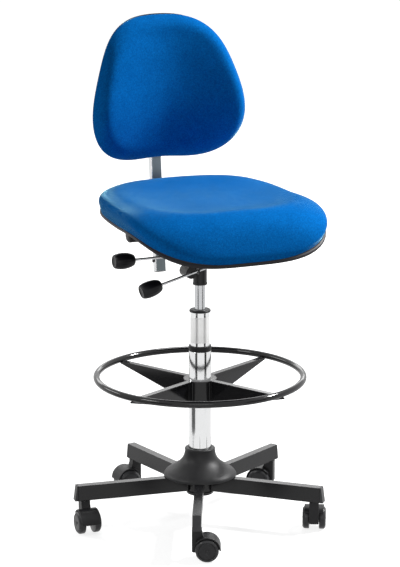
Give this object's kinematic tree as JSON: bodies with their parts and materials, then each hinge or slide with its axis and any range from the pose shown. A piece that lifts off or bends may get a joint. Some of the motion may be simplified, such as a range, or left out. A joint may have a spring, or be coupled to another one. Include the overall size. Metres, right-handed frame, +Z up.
{
  "type": "high swivel work chair",
  "caption": "High swivel work chair with upholstered seat and backrest, gas lift, side levers, foot ring and a star base on twin-wheel castors.",
  "frame": {"origin": "on the floor, under the middle of the bounding box; the column's axis is 18 mm to +X and 4 mm to -Y of it", "axes": "+Z up, the sitter faces -Y, the sitter's right hand and the levers are on the -X side"},
  "size_m": [0.6372, 0.6578, 1.2817],
  "materials": {
    "black_steel": "satin",
    "black_plastic": "fine grain",
    "chrome": "polished",
    "bright_steel": "turned",
    "grey_steel": "satin",
    "wheel_plastic": "matt",
    "blue_fabric": "fine weave"
  },
  "bodies": {
    "base": {"base_hub": "black_steel", "base_arm_1": "black_steel", "base_arm_2": "black_steel", "base_arm_3": "black_steel", "base_arm_4": "black_steel", "base_arm_5": "black_steel", "arm_cap_1": "black_plastic", "arm_cap_2": "black_plastic", "arm_cap_3": "black_plastic", "arm_cap_4": "black_plastic", "arm_cap_5": "black_plastic", "hub_cover": "black_plastic", "pedestal_sleeve": "chrome", "sleeve_collar": "black_plastic", "gas_spring_tube": "chrome", "guide_bush": "black_plastic", "thrust_bearing": "bright_steel"},
    "spring_rod": {"piston_rod": "bright_steel", "retaining_clip": "bright_steel"},
    "seat_unit": {"gas_cylinder": "chrome", "mechanism_housing": "black_steel", "seat_plate": "black_steel", "seat_shell": "black_plastic", "seat_cushion": "blue_fabric", "back_pivot_pin": "bright_steel", "back_spring": "bright_steel"},
    "release_button": {"release_button": "bright_steel"},
    "gas_lever": {"gas_lever_rod": "black_steel", "gas_lever_grip": "black_plastic"},
    "back_lever": {"back_lever_rod": "black_steel", "back_lever_grip": "black_plastic"},
    "back_arm": {"back_arm": "black_steel"},
    "height_knob": {"height_knob": "black_plastic"},
    "backrest": {"upright": "grey_steel", "stop_screw": "black_steel", "backrest_bracket": "black_steel", "backrest_shell": "black_plastic", "backrest_cushion": "blue_fabric"},
    "foot_ring": {"foot_ring_tube": "black_steel", "foot_ring_hub": "black_steel", "foot_ring_bolt": "bright_steel", "foot_ring_spoke_1": "black_steel", "foot_ring_spoke_2": "black_steel", "foot_ring_spoke_3": "black_steel", "foot_ring_spoke_4": "black_steel"},
    "castor_1": {"castor_1_fork": "black_plastic"},
    "castor_1_wheel_a": {"castor_1_wheel_a": "wheel_plastic"},
    "castor_1_wheel_b": {"castor_1_wheel_b": "wheel_plastic"},
    "castor_2": {"castor_2_fork": "black_plastic"},
    "castor_2_wheel_a": {"castor_2_wheel_a": "wheel_plastic"},
    "castor_2_wheel_b": {"castor_2_wheel_b": "wheel_plastic"},
    "castor_3": {"castor_3_fork": "black_plastic"},
    "castor_3_wheel_a": {"castor_3_wheel_a": "wheel_plastic"},
    "castor_3_wheel_b": {"castor_3_wheel_b": "wheel_plastic"},
    "castor_4": {"castor_4_fork": "black_plastic"},
    "castor_4_wheel_a": {"castor_4_wheel_a": "wheel_plastic"},
    "castor_4_wheel_b": {"castor_4_wheel_b": "wheel_plastic"},
    "castor_5": {"castor_5_fork": "black_plastic"},
    "castor_5_wheel_a": {"castor_5_wheel_a": "wheel_plastic"},
    "castor_5_wheel_b": {"castor_5_wheel_b": "wheel_plastic"}
  },
  "joints": [
    {"name": "seat_swivel", "type": "hinge", "parent": "base", "child": "spring_rod", "pos_m": [0.018, -0.004, 0.4], "axis": [0, 0, 1], "continuous": true},
    {"name": "height_lift", "type": "slide", "parent": "spring_rod", "child": "seat_unit", "axis": [0, 0, 1], "range_m": [-0.058, 0.14]},
    {"name": "gas_lever_lift", "type": "hinge", "parent": "seat_unit", "child": "gas_lever", "pos_m": [-0.0185, -0.074, 0.67656], "axis": [0, 1, 0], "range_deg": [0, 6], "stiffness_Nm_per_rad": 6},
    {"name": "button_press", "type": "slide", "parent": "seat_unit", "child": "release_button", "axis": [0, 0, 1], "range_m": [-0.004, 0]},
    {"name": "back_lever_lift", "type": "hinge", "parent": "seat_unit", "child": "back_lever", "pos_m": [-0.0185, 0.036, 0.694], "axis": [0, 1, 0], "range_deg": [0, 6], "stiffness_Nm_per_rad": 6},
    {"name": "back_tilt", "type": "hinge", "parent": "seat_unit", "child": "back_arm", "pos_m": [0.018, 0.088, 0.7], "axis": [1, 0, 0], "range_deg": [-15, 5]},
    {"name": "back_height", "type": "slide", "parent": "back_arm", "child": "backrest", "axis": [0, 0.1002, 0.995], "range_m": [-0.05, 0.04]},
    {"name": "knob_turn", "type": "hinge", "parent": "back_arm", "child": "height_knob", "pos_m": [-0.032, 0.26212, 0.70649], "axis": [1, 0, 0], "continuous": true},
    {"name": "foot_ring_height", "type": "slide", "parent": "base", "child": "foot_ring", "axis": [0, 0, 1], "range_m": [-0.1, 0.06]},
    {"name": "castor_1_swivel", "type": "hinge", "parent": "base", "child": "castor_1", "pos_m": [-0.11653, -0.28106, 0.075], "axis": [0, 0, 1], "continuous": true},
    {"name": "castor_1_roll_a", "type": "hinge", "parent": "castor_1", "child": "castor_1_wheel_a", "pos_m": [-0.09386, -0.29159, 0.029], "axis": [0.421, 0.907, 0], "continuous": true},
    {"name": "castor_1_roll_b", "type": "hinge", "parent": "castor_1", "child": "castor_1_wheel_b", "pos_m": [-0.09386, -0.29159, 0.029], "axis": [0.421, 0.907, 0], "continuous": true},
    {"name": "castor_2_swivel", "type": "hinge", "parent": "base", "child": "castor_2", "pos_m": [0.23993, -0.21757, 0.075], "axis": [0, 0, 1], "continuous": true},
    {"name": "castor_2_roll_a", "type": "hinge", "parent": "castor_2", "child": "castor_2_wheel_a", "pos_m": [0.25201, -0.19568, 0.029], "axis": [-0.8755, 0.4833, 0], "continuous": true},
    {"name": "castor_2_roll_b", "type": "hinge", "parent": "castor_2", "child": "castor_2_wheel_b", "pos_m": [0.25201, -0.19568, 0.029], "axis": [-0.8755, 0.4833, 0], "continuous": true},
    {"name": "castor_3_swivel", "type": "hinge", "parent": "base", "child": "castor_3", "pos_m": [0.28969, 0.14107, 0.075], "axis": [0, 0, 1], "continuous": true},
    {"name": "castor_3_roll_a", "type": "hinge", "parent": "castor_3", "child": "castor_3_wheel_a", "pos_m": [0.27052, 0.15711, 0.029], "axis": [-0.6414, -0.7672, 0], "continuous": true},
    {"name": "castor_3_roll_b", "type": "hinge", "parent": "castor_3", "child": "castor_3_wheel_b", "pos_m": [0.27052, 0.15711, 0.029], "axis": [-0.6414, -0.7672, 0], "continuous": true},
    {"name": "castor_4_swivel", "type": "hinge", "parent": "base", "child": "castor_4", "pos_m": [-0.03601, 0.29923, 0.075], "axis": [0, 0, 1], "continuous": true},
    {"name": "castor_4_roll_a", "type": "hinge", "parent": "castor_4", "child": "castor_4_wheel_a", "pos_m": [-0.06101, 0.29875, 0.029], "axis": [0.0192, -0.9998, 0], "continuous": true},
    {"name": "castor_4_roll_b", "type": "hinge", "parent": "castor_4", "child": "castor_4_wheel_b", "pos_m": [-0.06101, 0.29875, 0.029], "axis": [0.0192, -0.9998, 0], "continuous": true},
    {"name": "castor_5_swivel", "type": "hinge", "parent": "base", "child": "castor_5", "pos_m": [-0.28708, 0.03833, 0.075], "axis": [0, 0, 1], "continuous": true},
    {"name": "castor_5_roll_a", "type": "hinge", "parent": "castor_5", "child": "castor_5_wheel_a", "pos_m": [-0.28834, 0.01337, 0.029], "axis": [0.9987, -0.0506, 0], "continuous": true},
    {"name": "castor_5_roll_b", "type": "hinge", "parent": "castor_5", "child": "castor_5_wheel_b", "pos_m": [-0.28834, 0.01337, 0.029], "axis": [0.9987, -0.0506, 0], "continuous": true}
  ],
  "couplings": [
    {"joint": "button_press", "follows": "gas_lever_lift", "m_per_rad": -0.0365}
  ]
}
